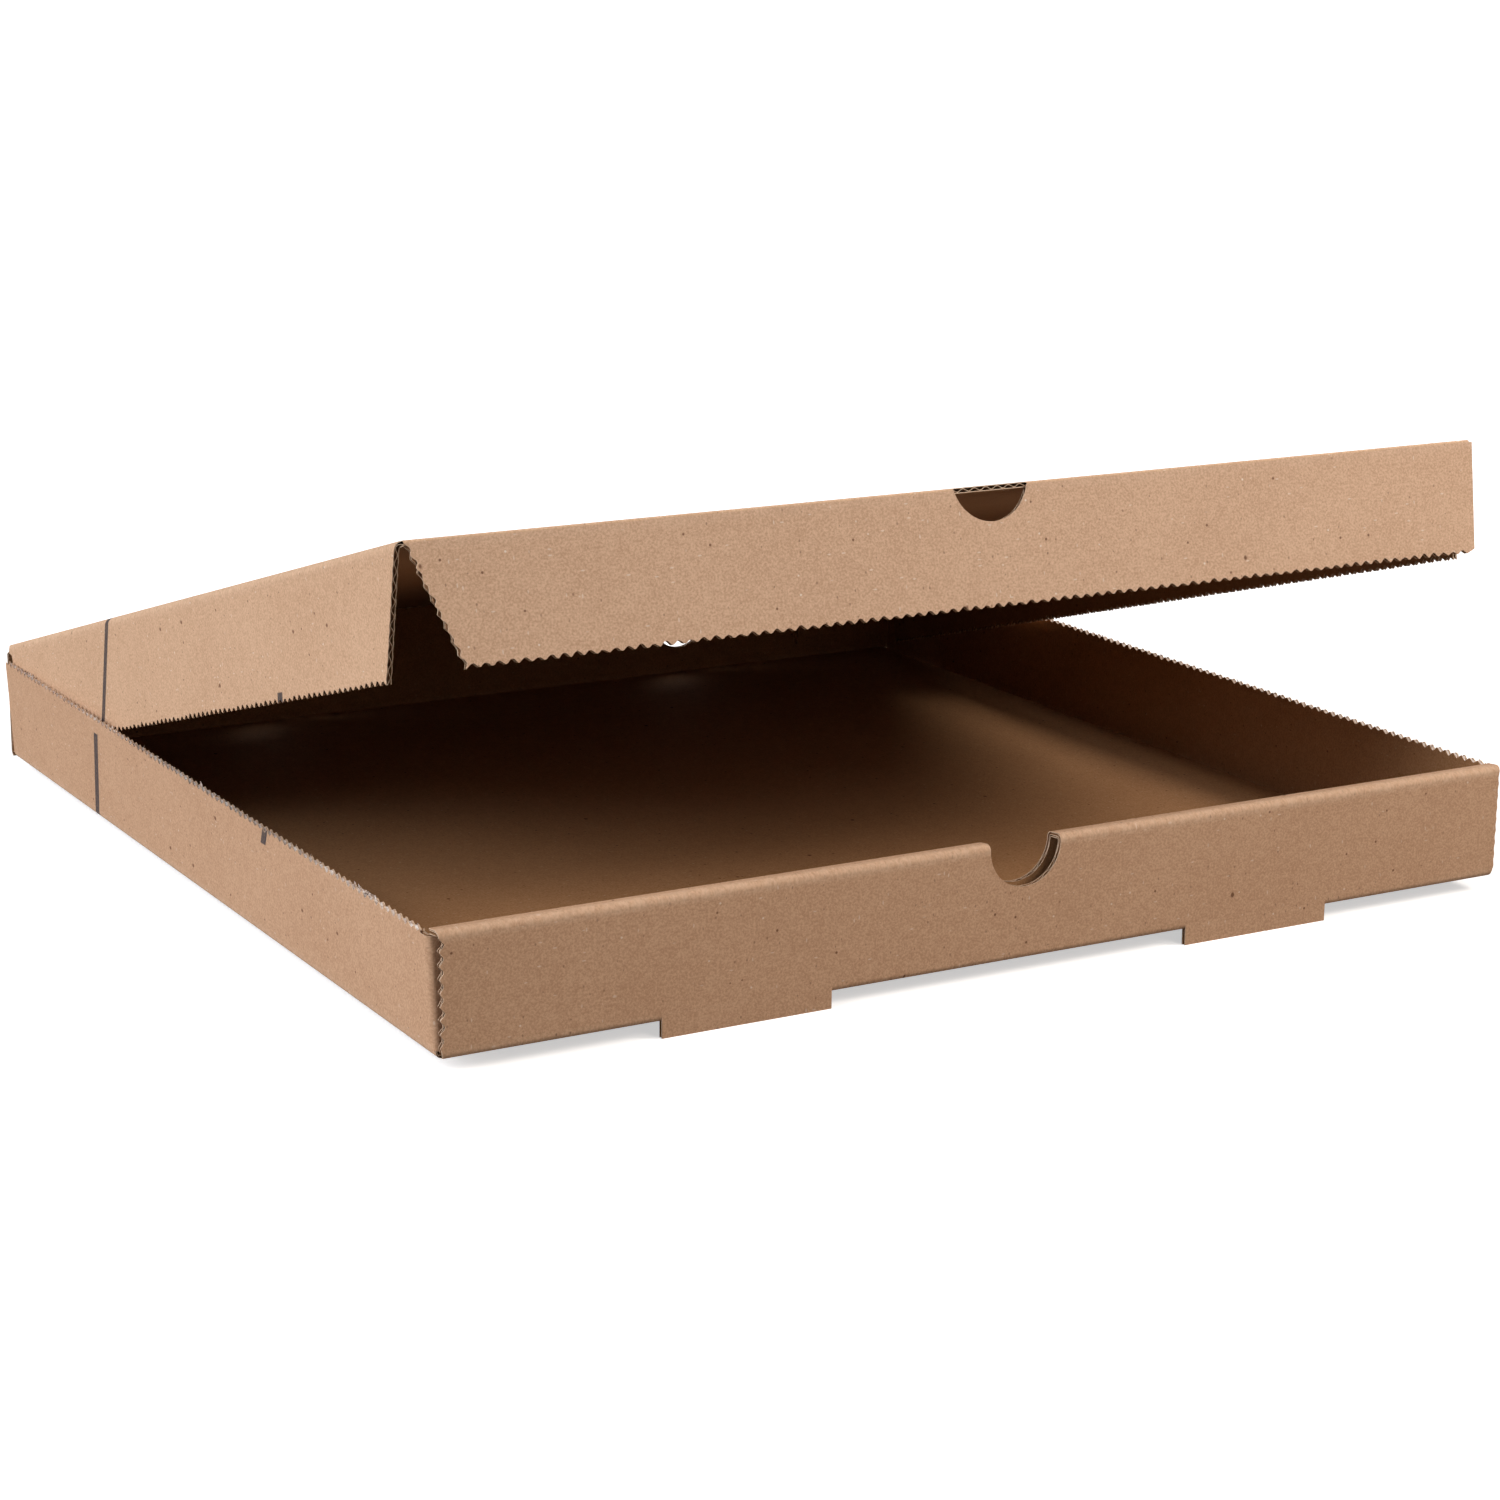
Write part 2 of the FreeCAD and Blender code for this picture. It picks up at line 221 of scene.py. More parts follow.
def bend(distance, offset, path):
    """Places on a folded path: how far out and how far up, for a distance along it.

    The offset is from the path's own line to the outer side of its folds.
    """
    out = np.zeros_like(distance)
    up = np.zeros_like(distance)
    start = 0.0
    heading = 0.0
    x = 0.0
    y = 0.0
    for number, (length, turn) in enumerate(path):
        here = distance >= start - ON_STATION if number else distance > -1
        local = distance[here] - start
        if turn:
            radius = length / math.radians(turn)
            angle = heading + local / radius
            out[here] = x + radius * (np.sin(angle) - math.sin(heading))
            up[here] = y + radius * (math.cos(heading) - np.cos(angle))
            after = heading + math.radians(turn)
            x += radius * (math.sin(after) - math.sin(heading))
            y += radius * (math.cos(heading) - math.cos(after))
            heading = after
        else:
            angle = np.full_like(local, heading)
            out[here] = x + local * math.cos(heading)
            up[here] = y + local * math.sin(heading)
            x += length * math.cos(heading)
            y += length * math.sin(heading)
        out[here] += offset[here] * np.sin(angle)
        up[here] -= offset[here] * np.cos(angle)
        start += length
    return out, up


def fold_lines(path, steps, worn_and_highlit=True):
    """Distances at which a sheet is cut into strips so that it can follow a path's folds."""
    ends = stations(path)
    lines = []
    for start, end, (length, turn) in zip(ends, ends[1:], path):
        if turn:
            lines += list(np.linspace(start, end, steps + 1))
            if worn_and_highlit:
                lines += [start - WEAR_AND_HIGHLIGHT_REACH, end + WEAR_AND_HIGHLIGHT_REACH]
    return lines


def wear_and_highlight_along(distance, path):
    """1 in a path's folds, falling to 0 a little way beyond them."""
    ends = stations(path)
    worn_and_highlit = np.zeros_like(distance)
    for start, end, (length, turn) in zip(ends, ends[1:], path):
        if turn:
            past = np.maximum(start - distance, distance - end)
            worn_and_highlit = np.maximum(worn_and_highlit, np.clip(1 - past / WEAR_AND_HIGHLIGHT_REACH, 0, 1))
    return worn_and_highlit


def place_tray(u, v, w):
    """From a place on the tray's sheet to its place in the folded tray."""
    side, side_up = bend(np.abs(u), w, SIDE_PATH)
    front, front_up = bend(np.abs(v), w, FRONT_PATH)
    back, back_up = bend(np.abs(v), w, BACK_PATH)
    on_wall = (np.abs(u) > SIDE_PATH[0][0]) & (np.abs(v) < FRONT_PATH[0][0] - ON_FOLD)
    x = np.where(on_wall, np.sign(u) * side, u)
    y = np.where(v < 0, -front, back)
    up = np.where(on_wall, side_up, np.where(v < 0, front_up, back_up))
    return np.stack([x, y, BOARD / 2 + up], axis=1)


def wear_and_highlight_tray(u, v):
    """Wear and a painted highlight on the folds: most on the roll's outer fold, little on its
    inner one, none above a foot.
    """
    ends = stations(FRONT_PATH)
    sides = wear_and_highlight_along(np.abs(u), SIDE_PATH) * (np.abs(v) < FRONT_PATH[0][0])
    front = wear_and_highlight_along(-v, FRONT_PATH)
    front *= np.where(-v > (ends[4] + ends[5]) / 2, INNER_ROLL_WEAR_AND_HIGHLIGHT, 1.0)
    front *= np.where(-v < (ends[2] + ends[3]) / 2, BOTTOM_WEAR_AND_HIGHLIGHT, 1.0)
    for left, right in foot_spans():
        front *= np.where((u > left) & (u < right) & (-v < ends[3]), 0.0, 1.0)
    back = wear_and_highlight_along(v, BACK_PATH) * WALL_WEAR_AND_HIGHLIGHT
    return np.maximum(sides * WALL_WEAR_AND_HIGHLIGHT, np.where(v < 0, front, back))


def turn_about_x(points, axis, degrees):
    """Points turned about a line along X through the axis point."""
    cosine = math.cos(math.radians(degrees))
    sine = math.sin(math.radians(degrees))
    y = points[:, 1] - axis[1]
    z = points[:, 2] - axis[2]
    return np.stack([points[:, 0], axis[1] + y * cosine - z * sine,
                     axis[2] + y * sine + z * cosine], axis=1)


def open_lid(points):
    return turn_about_x(points, HINGE, -LID_OPENING)


def place_lid(u, v, w):
    """From a place on the lid's sheet to its place in the opened lid."""
    side, up = bend(np.abs(u), w, LID_PATH)
    return open_lid(np.stack([np.sign(u) * side, v, HINGE.z - up], axis=1))


def wear_and_highlight_lid(u, v):
    return LID_WEAR_AND_HIGHLIGHT * wear_and_highlight_along(np.abs(u), LID_PATH)


def place_front_flap(u, v, w):
    """From a place on the front flap, v being its height over the crease's axis."""
    flat = np.stack([u, LID_FRONT_Y - w, HINGE.z + v], axis=1)
    return open_lid(turn_about_x(flat, (0, LID_FRONT_Y, HINGE.z), FRONT_FLAP_TUCK))


def wear_and_highlight_front_flap(u, v):
    return LID_WEAR_AND_HIGHLIGHT * np.clip(1 + v / (2 * WEAR_AND_HIGHLIGHT_REACH), 0, 1)


def tab_placer(side, end):
    """The placing of a corner tab that carries on from a side wall's front or back end."""
    lean = math.radians(FLARE)
    rise = np.array([side * math.sin(lean), 0, math.cos(lean)])
    outward = np.array([side * math.cos(lean), 0, -math.sin(lean)])
    wall_end = WALL_END - (TAB_SETBACK if end < 0 else 0)
    foot = np.array([side * HALF_WIDTH, end * wall_end, 0]) - outward * BOARD / 2

    def place(u, v, w):
        along, inward = bend(v, w, TAB_PATH)
        direction = np.array([0, end, 0])
        return (foot + np.outer(u, rise) + np.outer(along, direction)
                - np.outer(inward, outward))

    return place


def place_foot(u, v, w):
    return np.stack([u, FRONT_Y + BOARD / 2 - w, v], axis=1)


def no_wear_and_highlight(u, v):
    return np.zeros_like(u)


def toothed(start, end, inward, depth=TOOTH_DEPTH, seed=1):
    """Points of an uneven cut with rounded teeth, from start up to end, valleys inward."""
    chance = random.Random(seed)
    run = np.subtract(end, start)
    count = max(1, round(float(np.linalg.norm(run)) / TOOTH_PITCH))
    points = []
    tooth = 1.0
    for step in range(count * TOOTH_STEPS):
        share = step / (count * TOOTH_STEPS)
        if step % TOOTH_STEPS == 0:
            tooth = chance.uniform(*TOOTH_UNEVENNESS)
        sink = 0.5 - 0.5 * math.cos(2 * math.pi * step / TOOTH_STEPS)
        rough = chance.uniform(0, CUT_ROUGHNESS) if step else 0
        sink = depth * (tooth * sink ** TOOTH_ROUNDNESS + rough)
        points.append((start[0] + run[0] * share + inward[0] * sink,
                       start[1] + run[1] * share + inward[1] * sink))
    return points


def arc(centre, radius, start, end, steps=ROUND_STEPS):
    """Points round a circle, from one angle to another in degrees."""
    angles = np.radians(np.linspace(start, end, steps + 1))
    return [(centre[0] + radius * math.cos(a), centre[1] + radius * math.sin(a)) for a in angles]


def inside(outlines, points):
    """Whether each point is inside an odd number of the outlines."""
    crossings = np.zeros(len(points), int)
    for outline in outlines:
        for (u0, v0), (u1, v1) in zip(outline, outline[1:] + outline[:1]):
            if v0 != v1:
                level = (points[:, 1] > min(v0, v1)) & (points[:, 1] <= max(v0, v1))
                meet = u0 + (points[:, 1] - v0) * (u1 - u0) / (v1 - v0)
                crossings += level & (points[:, 0] < meet)
    return crossings % 2 == 1


def flat_triangles(outlines, u_lines, v_lines):
    """Points and triangles of a flat sheet, cut along the lines as well."""
    points = []
    edges = []
    for outline in outlines:
        first = len(points)
        points += [Vector(p) for p in outline]
        edges += [(first + k, first + (k + 1) % len(outline)) for k in range(len(outline))]
    low = np.min([tuple(p) for p in points], axis=0) - MM
    high = np.max([tuple(p) for p in points], axis=0) + MM
    for u in u_lines:
        if low[0] < u < high[0]:
            edges.append((len(points), len(points) + 1))
            points += [Vector((u, low[1])), Vector((u, high[1]))]
    for v in v_lines:
        if low[1] < v < high[1]:
            edges.append((len(points), len(points) + 1))
            points += [Vector((low[0], v)), Vector((high[0], v))]
    result = delaunay_2d_cdt(points, edges, [], 0, SAME_POINT, False)
    flat = np.array([tuple(p) for p in result[0]])
    triangles = np.array(result[2])
    triangles = triangles[inside(outlines, flat[triangles].mean(axis=1))]
    used, renumbered = np.unique(triangles, return_inverse=True)
    return flat[used], renumbered.reshape(-1, 3)


def rim_edges(triangles):
    """The edges that only one triangle has."""
    edges = np.concatenate([triangles[:, [0, 1]], triangles[:, [1, 2]], triangles[:, [2, 0]]])
    _, place, count = np.unique(np.sort(edges, axis=1), axis=0, return_index=True,
                                return_counts=True)
    return edges[place[count == 1]]


def closed_mesh(name, vertices, faces, sheet, wear_and_highlight, materials):
    """A mesh with outward normals that keeps each point's place on the sheet and its wear and
    painted highlight.
    """
    mesh = bpy.data.meshes.new(name)
    mesh.from_pydata(vertices, [], faces)
    work = bmesh.new()
    work.from_mesh(mesh)
    bmesh.ops.recalc_face_normals(work, faces=work.faces)
    work.to_mesh(mesh)
    work.free()
    places = mesh.attributes.new("sheet", "FLOAT_VECTOR", "POINT")
    places.data.foreach_set("vector", sheet.astype(np.float32).ravel())
    worn_and_highlit = mesh.attributes.new("wear_and_highlight", "FLOAT", "POINT")
    worn_and_highlit.data.foreach_set("value", wear_and_highlight.astype(np.float32))
    for material in materials:
        mesh.materials.append(material)
    mesh.shade_smooth()
    mesh.set_sharp_from_angle(angle=math.radians(SHARP_ANGLE))
    return mesh


def add_piece(name, mesh, body):
    """An object of the mesh that rides on a body."""
    piece = bpy.data.objects.new(name, mesh)
    bpy.context.scene.collection.objects.link(piece)
    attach(piece, body)
    return piece


def layer(name, flat, triangles, low, high, place, wear_and_highlight, materials, body):
    """A closed sheet of paper between two offsets of a flat one, folded into place."""
    u, v = flat[:, 0], flat[:, 1]
    count = len(flat)
    vertices = np.concatenate([place(u, v, high), place(u, v, low)])
    rim = rim_edges(triangles)
    rim_faces = np.stack([rim[:, 0], rim[:, 1], rim[:, 1] + count, rim[:, 0] + count], axis=1)
    faces = triangles.tolist() + (triangles[:, ::-1] + count).tolist() + rim_faces.tolist()
    sheet = np.concatenate([np.stack([u, v, high], axis=1), np.stack([u, v, low], axis=1)])
    mesh = closed_mesh(name, vertices.tolist(), faces, sheet, np.tile(wear_and_highlight(u, v), 2), materials)
    numbers = np.zeros(len(faces), np.int32)
    numbers[2 * len(triangles):] = len(materials) - 1
    mesh.polygons.foreach_set("material_index", numbers)
    return add_piece(name, mesh, body)


def corrugated(name, outlines, u_lines, v_lines, place, wear_and_highlight, paints, body,
               flute_v_lines=None, inner_outlines=None):
    """Two liners and the fluting between them; returns the outer liner.

    The paints are those of the outer and the inner liner. The inner outlines, where given,
    are those of the inner liner and the fluting.
    """
    inner_outlines = inner_outlines or outlines
    flat, triangles = flat_triangles(outlines, u_lines, v_lines)
    half = np.full(len(flat), BOARD / 2)
    outer = layer(name + "_outer_liner", flat, triangles, half - LINER, half, place, wear_and_highlight,
                  (paints[0], cut_edge), body)
    flat, triangles = flat_triangles(inner_outlines, u_lines, v_lines)
    half = np.full(len(flat), BOARD / 2)
    layer(name + "_inner_liner", flat, triangles, -half, LINER - half, place, wear_and_highlight,
          (paints[1], cut_edge), body)
    step = FLUTE_PITCH / FLUTE_STEPS
    reach = math.ceil(max(abs(u) for outline in outlines for u, v in outline) / step)
    wave_lines = list(np.arange(-reach, reach + 1) * step)
    flat, triangles = flat_triangles(inner_outlines, wave_lines, flute_v_lines or v_lines)
    swing = BOARD / 2 - LINER - FLUTE_PAPER / 2 - FLUTE_CLEARANCE
    wave = swing * np.sin(2 * math.pi * flat[:, 0] / FLUTE_PITCH)
    layer(name + "_fluting", flat, triangles, wave - FLUTE_PAPER / 2, wave + FLUTE_PAPER / 2,
          place, no_wear_and_highlight, (shaded_flute_paper, cut_edge), body)
    return outer


def front_v(height):
    """The place on the sheet of a height on the front's outer panel."""
    return -(stations(FRONT_PATH)[2] + height - FOLD_RADIUS)


def inner_v(height):
    """The place on the sheet of a height on the front's inner panel."""
    ends = stations(FRONT_PATH)
    return -(ends[-1] - (height - BOARD - LOCK_CLEARANCE))


def back_v(height):
    return stations(BACK_PATH)[2] + height - FOLD_RADIUS


def foot_spans():
    left, right = [(side * FOOT_X - FOOT_WIDTH / 2, side * FOOT_X + FOOT_WIDTH / 2)
                   for side in (-1, 1)]
    return [left, (right[0], right[1] - RIGHT_FOOT_TRIM)]


def wall_cut():
    """The toothed cut along the top of a side wall, from front to back."""
    wall_top = stations(SIDE_PATH)[-1]
    front = FRONT_Y + ROLL_WIDTH + PANEL_GAP
    return toothed((wall_top, front), (wall_top, WALL_END), (-1, 0), seed=3)


def crushed_edge(name, side):
    """Pale pulp that fills the board's cut along the top of a side wall."""
    chance = random.Random(7)
    cut = [(u - chance.uniform(0, CRUSH_DEPTH), v) for u, v in wall_cut()[2:-2]]
    under = [(u - PULP_DEPTH, v) for u, v in reversed(cut)]
    outline = [(side * u, v) for u, v in cut + under]
    flat, triangles = flat_triangles([outline], [], [])
    gap = np.full(len(flat), BOARD / 2 - LINER)
    layer(name, flat, triangles, -gap, gap, place_tray, no_wear_and_highlight, (pulp,), "tray_body")


def tray_side(foot, end_teeth):
    """One half of the tray's sheet, from the inner panel's lower edge to the hinge."""
    ends = stations(FRONT_PATH)
    under_roll = stations(SIDE_PATH)[-1] - leaning(SIDE_HEIGHT - UNDER_ROLL)
    inner_end = HALF_WIDTH - BOARD - 2 * PANEL_GAP
    fold_start = SIDE_PATH[0][0]
    lock_v = -ends[-1] - BOARD - LOCK_CLEARANCE
    near = foot[0] + LOCK_INSET
    far = foot[1] - LOCK_INSET
    points = [(near, -ends[-1]), (near, lock_v), (far, lock_v), (far, -ends[-1])]
    panel_end = HALF_WIDTH - PANEL_INSET
    points += [(inner_end, -ends[-1]), (inner_end, -ends[-2]), (HALF_WIDTH, -ends[-3])]
    points += [(HALF_WIDTH, -ends[4]), (panel_end, -ends[3])]
    clip = (panel_end, -ends[2] - CORNER_CLIP)
    lip = CORNER_GAP - ends[1]
    fold_end = stations(SIDE_PATH)[2]
    points += toothed((panel_end, -ends[3]), clip, (-1, 0), end_teeth, seed=2)
    points += [clip, (HALF_WIDTH - CORNER_CLIP, -ends[1]), (fold_start, -ends[1])]
    wall_end = WALL_END - TAB_SETBACK
    points += [(fold_start, lip), (fold_end, lip), (fold_end, -wall_end)]
    points += [(under_roll, -wall_end)]
    points += [(under_roll, FRONT_Y + ROLL_WIDTH + PANEL_GAP)] + wall_cut()
    points += [(under_roll, WALL_END), (fold_start, WALL_END), (fold_start, BACK_PATH[0][0])]
    back_top = stations(BACK_PATH)[-1]
    points += [(HALF_WIDTH, BACK_PATH[0][0]), (HALF_WIDTH, back_top - CORNER_CLIP),
               (HALF_WIDTH - CORNER_CLIP, back_top)]
    return points


def tray_outline():
    """The tray's sheet; its front's left end is cut with teeth and its right end is not."""
    left, right = foot_spans()
    mirrored_left = tray_side((-left[1], -left[0]), TOOTH_DEPTH)
    return tray_side(right, SMOOTH_DEPTH) + [(-u, v) for u, v in reversed(mirrored_left)]


def tray_holes():
    """The slots above the feet, the thumb notch and the vents."""
    holes = []
    slot_back = FRONT_Y + ROLL_WIDTH + LOCK_CLEARANCE
    for left, right in foot_spans():
        fold_top = -stations(FRONT_PATH)[2]
        holes.append([(left, fold_top), (right, fold_top), (right, slot_back), (left, slot_back)])
    drop = math.degrees(math.asin((NOTCH_Z - FRONT_HEIGHT + FOLD_RADIUS) / NOTCH_RADIUS))
    outer_arc = arc((NOTCH_X, front_v(NOTCH_Z)), NOTCH_RADIUS, drop, 180 - drop)
    inner_arc = arc((NOTCH_X, inner_v(NOTCH_Z)), NOTCH_RADIUS, 180 + drop, 360 - drop)
    holes.append(outer_arc + inner_arc)
    for side in (-1, 1):
        holes.append(arc((side * VENT_X, back_v(VENT_Z)), VENT_RADIUS, 180, 360))
    return holes


def make_tray():
    paints = (tray_paint, inside_painted_shade)
    v_lines = [-v for v in fold_lines(FRONT_PATH, FOLD_STEPS)] + fold_lines(BACK_PATH, FOLD_STEPS)
    flute_v_lines = [-v for v in fold_lines(FRONT_PATH, FLUTE_FOLD_STEPS, False)]
    flute_v_lines += fold_lines(BACK_PATH, FLUTE_FOLD_STEPS, False)
    side_lines = fold_lines(SIDE_PATH, FOLD_STEPS)
    u_lines = side_lines + [-u for u in side_lines]
    outer = corrugated("tray", [tray_outline()] + tray_holes(), u_lines, v_lines, place_tray,
                       wear_and_highlight_tray, paints, "tray_body",
                       flute_v_lines=flute_v_lines)
    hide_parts("tray")
    for number, (left, right) in enumerate(foot_spans()):
        outline = [(left, FLOOR_Z), (right, FLOOR_Z), (right, FOLD_RADIUS), (left, FOLD_RADIUS)]
        name = ("left", "right")[number] + "_foot"
        corrugated(name, [outline], [], [], place_foot, no_wear_and_highlight, paints, "tray_body")
    for side, side_name in ((-1, "left"), (1, "right")):
        for end, end_name in ((-1, "front"), (1, "back")):
            make_tab(side, end, side_name + "_" + end_name + "_tab")


def make_tab(side, end, name):
    length = FRONT_TAB_LENGTH if end < 0 else BACK_TAB_LENGTH
    top = leaning(UNDER_ROLL if end < 0 else SIDE_HEIGHT - TOOTH_DEPTH)
    low = leaning(BOARD + TAB_LIFT)
    free_end = TAB_PATH[0][0] + length - FOLD_RADIUS
    outline = [(low, 0), (low + TAB_TAPER, free_end), (top - TAB_TAPER, free_end), (top, 0)]
    corrugated(name, [outline], [], fold_lines(TAB_PATH, FOLD_STEPS), tab_placer(side, end),
               no_wear_and_highlight, (tray_paint, inside_painted_shade), "tray_body")


def lid_side(slant):
    """One half of the lid's outline, from the front crease to the hinge."""
    flap_end = stations(LID_PATH)[-1]
    fold_start = LID_PATH[0][0]
    fold_end = fold_start + LID_PATH[1][0]
    free_corner = (flap_end, FLAP_FRONT_Y + slant)
    points = [(fold_start, LID_FRONT_Y)]
    points += toothed((fold_end, FLAP_FRONT_Y + CORNER_GAP), free_corner, (0, 1), LID_END_DEPTH,
                      seed=8)
    points += toothed(free_corner, (flap_end, FLAP_REAR_Y), (-1, 0), LID_TOOTH_DEPTH, seed=4)
    panel_end = fold_start + LID_PATH[1][0] / 2
    points += [(flap_end, FLAP_REAR_Y), (fold_end + FLAP_SHOULDER, FLAP_REAR_Y),
               (fold_end + FLAP_SHOULDER / 2, SHOULDER_Y), (panel_end, SHOULDER_Y),
               (panel_end, HINGE.y)]
    return points


def make_lid():
    left = [(-u, v) for u, v in reversed(lid_side(LEFT_FLAP_SLANT))]
    outline = lid_side(RIGHT_FLAP_SLANT) + left
    side_lines = fold_lines(LID_PATH, FOLD_STEPS)
    u_lines = side_lines + [-u for u in side_lines]
    outer = corrugated("lid", [outline], u_lines, [], place_lid, wear_and_highlight_lid,
                       (lid_painted_light, lid_inside_painted_shade), "lid_body")
    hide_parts("lid")
    web = LID_PATH[0][0]
    notch = (LID_NOTCH_X - LID_NOTCH_WIDTH / 2, LID_NOTCH_X + LID_NOTCH_WIDTH / 2)
    rolled_edge("lid_hinge_crease", HINGE.y, 1, [(-web - BOARD / 2, web + BOARD / 2)])
    rolled_edge("lid_front_crease", LID_FRONT_Y, -1, [(-web, notch[0]), (notch[1], web)])


def rolled_edge(name, y, direction, spans):
    """The lid's edge at a crease, where the outer liner rolls round the crease's own line."""
    vertices = []
    faces = []
    for left, right in spans:
        first = len(vertices)
        angles = np.radians(np.linspace(0, 180, 2 * FOLD_STEPS + 1))
        for radius in (BOARD / 2 - ROLL_SHRINK, BOARD / 2 - LINER):
            for x in (left, right):
                for angle in angles:
                    vertices.append((x, y + direction * radius * math.sin(angle),
                                     HINGE.z + radius * math.cos(angle)))
        count = len(angles)
        outer_left, outer_right, inner_left, inner_right = (first + k * count for k in range(4))
        for k in range(count - 1):
            for one, other in ((outer_left, outer_right), (inner_left, inner_right),
                               (outer_left, inner_left), (outer_right, inner_right)):
                faces.append((one + k, one + k + 1, other + k + 1, other + k))
        for k in (0, count - 1):
            faces.append((outer_left + k, outer_right + k, inner_right + k, inner_left + k))
    closed = np.array(vertices)
    mesh = closed_mesh(name, open_lid(closed).tolist(), faces, closed,
                       np.full(len(closed), LID_WEAR_AND_HIGHLIGHT), (lid_painted_light,))
    add_piece(name, mesh, "lid_body")


def torn_fibre(chance, at, side):
    """The corners of one flat, curled and tapering fibre, four round each of its rings."""
    mirror = np.array([-side, 1, 1])
    way = mirror * [chance.uniform(*reach) for reach in FIBRE_WAY]
    curl = mirror * [chance.uniform(*reach) for reach in FIBRE_TURN]
    across = np.cross(way, FIBRE_FLATNESS)
    across /= np.linalg.norm(across)
    through = np.cross(way, across)
    through *= FIBRE_HALF_THICKNESS / np.linalg.norm(through)
    across *= chance.uniform(*FIBRE_HALF_WIDTH)
    length = chance.uniform(*FIBRE_LENGTH)
    corners = []
    for step in range(FIBRE_STEPS + 1):
        share = step / FIBRE_STEPS
        middle_line = at + (way * share + curl * share ** 2 * FIBRE_CURL) * length
        taper = 1 - FIBRE_TAPER * share
        for corner in (across, through, -across, -through):
            corners.append(tuple(middle_line + corner * taper))
    return corners


def fibre_faces(first):
    """The faces of a fibre whose corners are numbered from the first on."""
    faces = []
    for step in range(FIBRE_STEPS):
        k = first + 4 * step
        for one, other in ((0, 1), (1, 2), (2, 3), (3, 0)):
            faces.append((k + one, k + other, k + other + 4, k + one + 4))
    last = first + 4 * FIBRE_STEPS
    return faces + [(first + 3, first + 2, first + 1, first), (last, last + 1, last + 2, last + 3)]


def make_torn_fibres():
    """Paper fibres torn loose along the top cuts of the tray's side walls."""
    chance = random.Random(11)
    vertices = []
    faces = []
    wall_top = stations(SIDE_PATH)[-1]
    for side, middle, reach, count in TORN_PLACES:
        for number in range(count):
            v = middle + chance.gauss(0, reach / 2)
            v = max(FIBRE_MARGIN - WALL_END, min(v, WALL_END - FIBRE_MARGIN))
            u = side * (wall_top - chance.uniform(*FIBRE_DEPTH) * MM)
            w = -chance.uniform(*FIBRE_INSET) * BOARD
            at = place_tray(np.array([u]), np.array([v]), np.array([w]))[0]
            faces += fibre_faces(len(vertices))
            vertices += torn_fibre(chance, at, side)
    mesh = bpy.data.meshes.new("torn_fibres")
    mesh.from_pydata(vertices, [], faces)
    sheet = mesh.attributes.new("sheet", "FLOAT_VECTOR", "POINT")
    sheet.data.foreach_set("vector", np.array(vertices, np.float32).ravel())
    mesh.materials.append(pulp)
    add_piece("torn_fibres", mesh, "tray_body")


def flap_outline(top):
    """The front flap, v being its height over the crease's axis; it ends at the top."""
    lid_reach = LID_HALF + LEAN * (HINGE.z - BOARD / 2)
    bottom = BOARD / 2 - FRONT_FLAP_HEIGHT
    left_end = (-HALF_WIDTH + FLAP_LEFT_TAPER, bottom)
    left_slant = (left_end[0] + lid_reach - FOLD_RADIUS) / bottom
    left_top = (-lid_reach + FOLD_RADIUS + left_slant * top, top)
    corner = (HALF_WIDTH - FLAP_RIGHT_TAPER, bottom + FLAP_CORNER_CLIP)
    right_end = (corner[0] - FLAP_CORNER_RUN, bottom)
    outline = toothed(left_top, left_end, (1, 0), END_TOOTH_DEPTH, seed=5)
    outline += toothed(left_end, right_end, (0, 1), FLAP_TOOTH_DEPTH, seed=6)
    outline += [right_end, corner, (lid_reach - BOARD / 2, top)]
    half_chord = LID_NOTCH_WIDTH / 2
    radius = (half_chord ** 2 + LID_NOTCH_DEPTH ** 2) / (2 * LID_NOTCH_DEPTH)
    centre_v = BOARD / 2 - LID_NOTCH_DEPTH + radius
    dip = math.degrees(math.asin((centre_v - top) / radius))
    return outline + arc((LID_NOTCH_X, centre_v), radius, -dip, dip - 180)


def make_front_flap():
    outer = corrugated("front_flap", [flap_outline(0)], [], [-WEAR_AND_HIGHLIGHT_REACH, -2 * WEAR_AND_HIGHLIGHT_REACH],
                       place_front_flap, wear_and_highlight_front_flap, (flap_painted_light, lid_inside_painted_shade),
                       "front_flap_body",
                       inner_outlines=[flap_outline(-BOARD / 2)])
    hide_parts("front_flap")


def colour(red, green, blue):
    """A screen colour from 0 to 255 as the shader's own."""
    channels = [value / 255 for value in (red, green, blue)]
    return tuple(c / 12.92 if c <= 0.04045 else ((c + 0.055) / 1.055) ** 2.4
                 for c in channels) + (1.0,)


